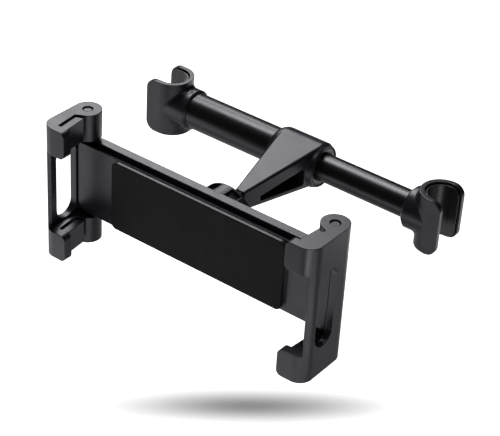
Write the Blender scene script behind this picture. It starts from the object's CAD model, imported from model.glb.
import bpy
import math
from mathutils import Matrix, Vector


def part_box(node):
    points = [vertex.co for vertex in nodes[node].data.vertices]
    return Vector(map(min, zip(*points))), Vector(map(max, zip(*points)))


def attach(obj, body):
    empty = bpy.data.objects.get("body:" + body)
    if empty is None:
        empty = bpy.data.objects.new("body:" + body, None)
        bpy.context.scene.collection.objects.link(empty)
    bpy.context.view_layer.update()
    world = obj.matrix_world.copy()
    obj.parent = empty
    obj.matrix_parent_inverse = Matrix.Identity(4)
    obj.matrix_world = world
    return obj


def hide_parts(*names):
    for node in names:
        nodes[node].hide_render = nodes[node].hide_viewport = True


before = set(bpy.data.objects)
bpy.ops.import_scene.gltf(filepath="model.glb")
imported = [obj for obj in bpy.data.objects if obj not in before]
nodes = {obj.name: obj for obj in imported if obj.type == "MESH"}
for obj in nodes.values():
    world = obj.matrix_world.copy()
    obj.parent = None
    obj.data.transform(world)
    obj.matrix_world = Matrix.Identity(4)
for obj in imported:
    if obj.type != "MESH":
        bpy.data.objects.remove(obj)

scene = bpy.context.scene
MM = 0.001
WHITE = (1, 1, 1, 1)
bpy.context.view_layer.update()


# Camera: place, aim and lens as fitted to the photograph

CAM_AZIMUTH = math.radians(35.77)
CAM_ELEVATION = math.radians(33.5)
CAM_ROLL = math.radians(3.6)
CAM_PLACE = Vector((401.35, -493.28, 360.72)) * MM
FOCAL_PIXELS = 1657.2
PICTURE_WIDTH = 500
SENSOR_WIDTH = 36.0


def way_to(azimuth, elevation):
    """Unit vector towards a point in the sky; azimuth runs from the front to the right."""
    flat = math.cos(elevation)
    return Vector((math.sin(azimuth) * flat, -math.cos(azimuth) * flat, math.sin(elevation)))


def add_camera():
    data = bpy.data.cameras.new("camera")
    data.sensor_fit = "HORIZONTAL"
    data.sensor_width = SENSOR_WIDTH
    data.lens = FOCAL_PIXELS * SENSOR_WIDTH / PICTURE_WIDTH
    data.clip_start = 0.01
    data.clip_end = 20
    back = way_to(CAM_AZIMUTH, CAM_ELEVATION)
    right = Vector((math.cos(CAM_AZIMUTH), math.sin(CAM_AZIMUTH), 0))
    up = back.cross(right)
    cos, sin = math.cos(CAM_ROLL), math.sin(CAM_ROLL)
    right, up = cos * right + sin * up, cos * up - sin * right
    turn = Matrix((right, up, back)).transposed().to_4x4()
    camera = bpy.data.objects.new("camera", data)
    camera.matrix_world = Matrix.Translation(CAM_PLACE) @ turn
    scene.collection.objects.link(camera)
    scene.camera = camera


# Light: softboxes above and behind, and cards lying on the floor that throw light up

TARGET = Vector((0.07, -0.05, 0))
LAMP_DISTANCE = 1.05
FLOOR_Z = -0.105
CARD_LIFT = 0.002
UP = Vector((0, 0, 1))


def add_lamp(name, place, aim, size, power):
    data = bpy.data.lights.new(name, "AREA")
    data.shape = "RECTANGLE"
    data.size, data.size_y = size
    data.energy = power
    lamp = bpy.data.objects.new(name, data)
    lamp.location = place
    lamp.rotation_euler = (aim - place).to_track_quat("-Z", "Y").to_euler()
    lamp.visible_camera = False
    scene.collection.objects.link(lamp)


def add_softbox(name, azimuth, elevation, size, power):
    """Softbox that looks at the object."""
    way = way_to(math.radians(azimuth), math.radians(elevation))
    add_lamp(name, TARGET + way * LAMP_DISTANCE, TARGET, size, power)


def add_card(name, x, y, size, power):
    """Card on the floor that shines up."""
    place = Vector((x, y, FLOOR_Z + CARD_LIFT))
    add_lamp(name, place, place + UP, size, power)


def add_lights():
    add_softbox("rear_high", 232, 60, (0.65, 0.35), 8.2)
    add_softbox("back_high", 180, 60, (0.35, 0.35), 0.3)
    add_softbox("rear", 230, 34, (0.6, 0.3), 3.05)
    add_softbox("overhead", 46, 66, (0.4, 0.4), 1.25)
    add_card("right_card", 0.33, -0.305, (0.26, 0.14), 0.5)
    add_card("front_card", 0.1, -0.175, (0.45, 0.13), 0.155)
    add_card("left_card", -0.16, -0.12, (0.13, 0.26), 0.04)
    add_card("far_left_card", -0.27, -0.305, (0.14, 0.14), 0.3)
    add_card("hook_card", 0.28, -0.1, (0.08, 0.08), 0.03)
    add_card("edge_card", 0.31, 0.16, (0.1, 0.1), 0.06)
    add_card("back_card", 0.07, 0.22, (0.36, 0.24), 0.22)


def add_surround():
    """White for the camera alone: it sends no light to the object."""
    world = bpy.data.worlds.new("surround")
    world.use_nodes = True
    scene.world = world
    tree = world.node_tree
    back = tree.nodes["Background"]
    back.inputs["Color"].default_value = WHITE
    path = tree.nodes.new("ShaderNodeLightPath")
    tree.links.new(path.outputs["Is Camera Ray"], back.inputs["Strength"])


# Floor: it glows white for the camera, but not in an oval under the object, where the object's
# shadow shows. The oval has the place and shape of the shadow in the photograph.

FLOOR_HALF = 3.0
FLOOR_TONE = (0.5, 0.5, 0.51, 1)
SHADOW_CENTRE = (0.0806, -0.0393, FLOOR_Z)
SHADOW_TURN = math.radians(41.3)
SHADOW_REACH = (0.1, 0.017, 1)


def floor_glow(tree):
    """Strength of the glow: nothing in the oval's middle, 1 from its edge on, for camera rays."""
    place = tree.nodes.new("ShaderNodeTexCoord")
    oval = tree.nodes.new("ShaderNodeMapping")
    oval.vector_type = "TEXTURE"
    oval.inputs["Location"].default_value = SHADOW_CENTRE
    oval.inputs["Rotation"].default_value = (0, 0, SHADOW_TURN)
    oval.inputs["Scale"].default_value = SHADOW_REACH
    away = tree.nodes.new("ShaderNodeVectorMath")
    away.operation = "LENGTH"
    fade = tree.nodes.new("ShaderNodeMapRange")
    fade.interpolation_type = "SMOOTHSTEP"
    path = tree.nodes.new("ShaderNodeLightPath")
    glow = tree.nodes.new("ShaderNodeMath")
    glow.operation = "MULTIPLY"
    tree.links.new(place.outputs["Object"], oval.inputs["Vector"])
    tree.links.new(oval.outputs["Vector"], away.inputs[0])
    tree.links.new(away.outputs["Value"], fade.inputs["Value"])
    tree.links.new(fade.outputs["Result"], glow.inputs[0])
    tree.links.new(path.outputs["Is Camera Ray"], glow.inputs[1])
    return glow.outputs[0]


def add_floor():
    half = FLOOR_HALF
    mesh = bpy.data.meshes.new("floor")
    corners = [(x, y, FLOOR_Z) for x, y in ((-half, -half), (half, -half), (half, half), (-half, half))]
    mesh.from_pydata(corners, [], [(0, 1, 2, 3)])
    floor = bpy.data.objects.new("floor", mesh)
    scene.collection.objects.link(floor)
    material, tree, paint = new_material("floor_white")
    paint.inputs["Base Color"].default_value = FLOOR_TONE
    paint.inputs["Roughness"].default_value = 1.0
    paint.inputs["Specular IOR Level"].default_value = 0.0
    paint.inputs["Emission Color"].default_value = WHITE
    tree.links.new(floor_glow(tree), paint.inputs["Emission Strength"])
    mesh.materials.append(material)


# Materials: one recipe, a fine grain with faint clouds in colour and shine

CLOUD_SCALE = 45.0
CLOUD_SWING = 0.08
PATCH_SCALE = 120.0
GRAIN_DETAIL = 3.0
GRAIN_STRENGTH = 0.35
NOISE_LOW, NOISE_HIGH = 0.3, 0.7
EDGE_SAMPLES = 8
COOL_SHINE = (0.93, 0.92, 1, 1)


def new_material(name):
    material = bpy.data.materials.new(name)
    material.use_nodes = True
    tree = material.node_tree
    return material, tree, tree.nodes["Principled BSDF"]


def noise(tree, scale, detail=2.0):
    place = tree.nodes.new("ShaderNodeTexCoord")
    grain = tree.nodes.new("ShaderNodeTexNoise")
    grain.inputs["Scale"].default_value = scale
    grain.inputs["Detail"].default_value = detail
    tree.links.new(place.outputs["Object"], grain.inputs["Vector"])
    return grain.outputs["Fac"]


def spread(tree, value, low, high):
    """Noise stretched to run from low to high."""
    span = tree.nodes.new("ShaderNodeMapRange")
    span.inputs["From Min"].default_value = NOISE_LOW
    span.inputs["From Max"].default_value = NOISE_HIGH
    span.inputs["To Min"].default_value = low
    span.inputs["To Max"].default_value = high
    tree.links.new(value, span.inputs["Value"])
    return span.outputs["Result"]


def cloudy(tree, tone):
    """The tone, a little darker and lighter in soft clouds."""
    ramp = tree.nodes.new("ShaderNodeValToRGB")
    ends = ((NOISE_LOW, 1 - CLOUD_SWING), (NOISE_HIGH, 1 + CLOUD_SWING))
    for element, (position, share) in zip(ramp.color_ramp.elements, ends):
        element.position = position
        element.color = (*(part * share for part in tone), 1)
    tree.links.new(noise(tree, CLOUD_SCALE), ramp.inputs["Fac"])
    return ramp.outputs["Color"]


def grain_normal(tree, scale, depth, edge):
    """Bump of the grain, on a normal that turns gently over every arris, edge metres wide."""
    soft = tree.nodes.new("ShaderNodeBevel")
    soft.samples = EDGE_SAMPLES
    soft.inputs["Radius"].default_value = edge
    dent = tree.nodes.new("ShaderNodeBump")
    dent.inputs["Distance"].default_value = depth
    dent.inputs["Strength"].default_value = GRAIN_STRENGTH
    tree.links.new(noise(tree, scale, GRAIN_DETAIL), dent.inputs["Height"])
    tree.links.new(soft.outputs["Normal"], dent.inputs["Normal"])
    return dent.outputs["Normal"]


def grained(name, tone, rough, grain_scale, depth, edge,
            specular=0.5, metallic=0.0, patchy=0.03, shine=WHITE):
    """Moulded or painted surface; patchy is how far its roughness swings."""
    material, tree, shader = new_material(name)
    patches = spread(tree, noise(tree, PATCH_SCALE), rough - patchy, rough + patchy)
    tree.links.new(cloudy(tree, tone), shader.inputs["Base Color"])
    tree.links.new(patches, shader.inputs["Roughness"])
    tree.links.new(grain_normal(tree, grain_scale, depth, edge), shader.inputs["Normal"])
    shader.inputs["Specular IOR Level"].default_value = specular
    shader.inputs["Specular Tint"].default_value = shine
    shader.inputs["Metallic"].default_value = metallic
    return material


def dress(material, *names):
    for name in names:
        mesh = nodes[name].data
        mesh.materials.clear()
        mesh.materials.append(material)


def add_materials():
    """Dresses every CAD node; returns the plastic of the hidden sliding pieces."""
    body = grained("satin_plastic", (0.0126, 0.0124, 0.0165), 0.32, 2600.0, 0.00006, 0.5 * MM,
                   shine=COOL_SHINE)
    dress(body, "left_hook", "right_hook", "arm_bracket", "lock_nut",
          "rear_housing", "front_panel", "left_jaw", "right_jaw",
          "left_upper_pin", "left_lower_pin", "right_upper_pin", "right_lower_pin")
    tube = grained("black_anodising", (0.006, 0.006, 0.0065), 0.31, 4200.0, 0.00001, 0.2 * MM,
                   patchy=0.01, shine=COOL_SHINE)
    dress(tube, "outer_tube", "inner_tube")
    pad = grained("pad_rubber", (0.0075, 0.0075, 0.0078), 0.6, 1500.0, 0.00009, 0.3 * MM,
                  specular=0.12)
    dress(pad, "grip_pad")
    liner = grained("liner_rubber", (0.02, 0.02, 0.022), 0.28, 1500.0, 0.00006, 0.3 * MM)
    dress(liner, "left_hook_liner", "right_hook_liner")
    slippery = grained("slippery_plastic", (0.03, 0.03, 0.03), 0.35, 2600.0, 0.00003, 0.3 * MM)
    dress(slippery, "guide_plug", "grip_bush", "rear_ball_seat", "front_ball_seat",
          "sync_pinion", "left_slide", "right_slide")
    steel = grained("small_steel", (0.3, 0.3, 0.32), 0.35, 900.0, 0.00003, 0.1 * MM, metallic=1.0)
    dress(steel, "panel_screws", "return_spring")
    return slippery


# Grip collar: it stands for the grip bush, with a flange that closes the sleeve's mouth round the
# thin tube

COLLAR_BORE = 6.05 * MM
COLLAR_STEM = 8.0 * MM
COLLAR_FLANGE = 8.55 * MM
COLLAR_REACH = 4.2 * MM
COLLAR_ROUND = 0.25 * MM
COLLAR_STEPS = 96
SHARP_ANGLE = math.radians(50)


def turned(name, profile, steps):
    """Ring turned about the rod's axis from a closed profile of (x, radius) points."""
    mesh = bpy.data.meshes.new(name)
    spots, faces, count = [], [], len(profile)
    for step in range(steps):
        angle = 2 * math.pi * step / steps
        spots += [(x, radius * math.cos(angle), radius * math.sin(angle)) for x, radius in profile]
    for step in range(steps):
        here, there = step * count, (step + 1) % steps * count
        for point in range(count):
            after = (point + 1) % count
            faces.append((here + point, there + point, there + after, here + after))
    mesh.from_pydata(spots, [], faces)
    mesh.shade_smooth()
    mesh.set_sharp_from_angle(angle=SHARP_ANGLE)
    ring = bpy.data.objects.new(name, mesh)
    scene.collection.objects.link(ring)
    return ring


def add_collar(material):
    low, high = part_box("grip_bush")
    back, front = low[0], high[0]
    face = front + COLLAR_REACH
    ring = turned("grip_collar", [
        (back, COLLAR_BORE),
        (back, COLLAR_STEM),
        (front, COLLAR_STEM),
        (front, COLLAR_FLANGE),
        (face - COLLAR_ROUND, COLLAR_FLANGE),
        (face, COLLAR_FLANGE - COLLAR_ROUND),
        (face, COLLAR_BORE + COLLAR_ROUND),
        (face - COLLAR_ROUND, COLLAR_BORE),
    ], COLLAR_STEPS)
    ring.data.materials.append(material)
    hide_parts("grip_bush")
    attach(ring, "rod_and_arm")


scene.view_settings.view_transform = "Standard"
add_camera()
add_lights()
add_surround()
add_floor()
add_collar(add_materials())
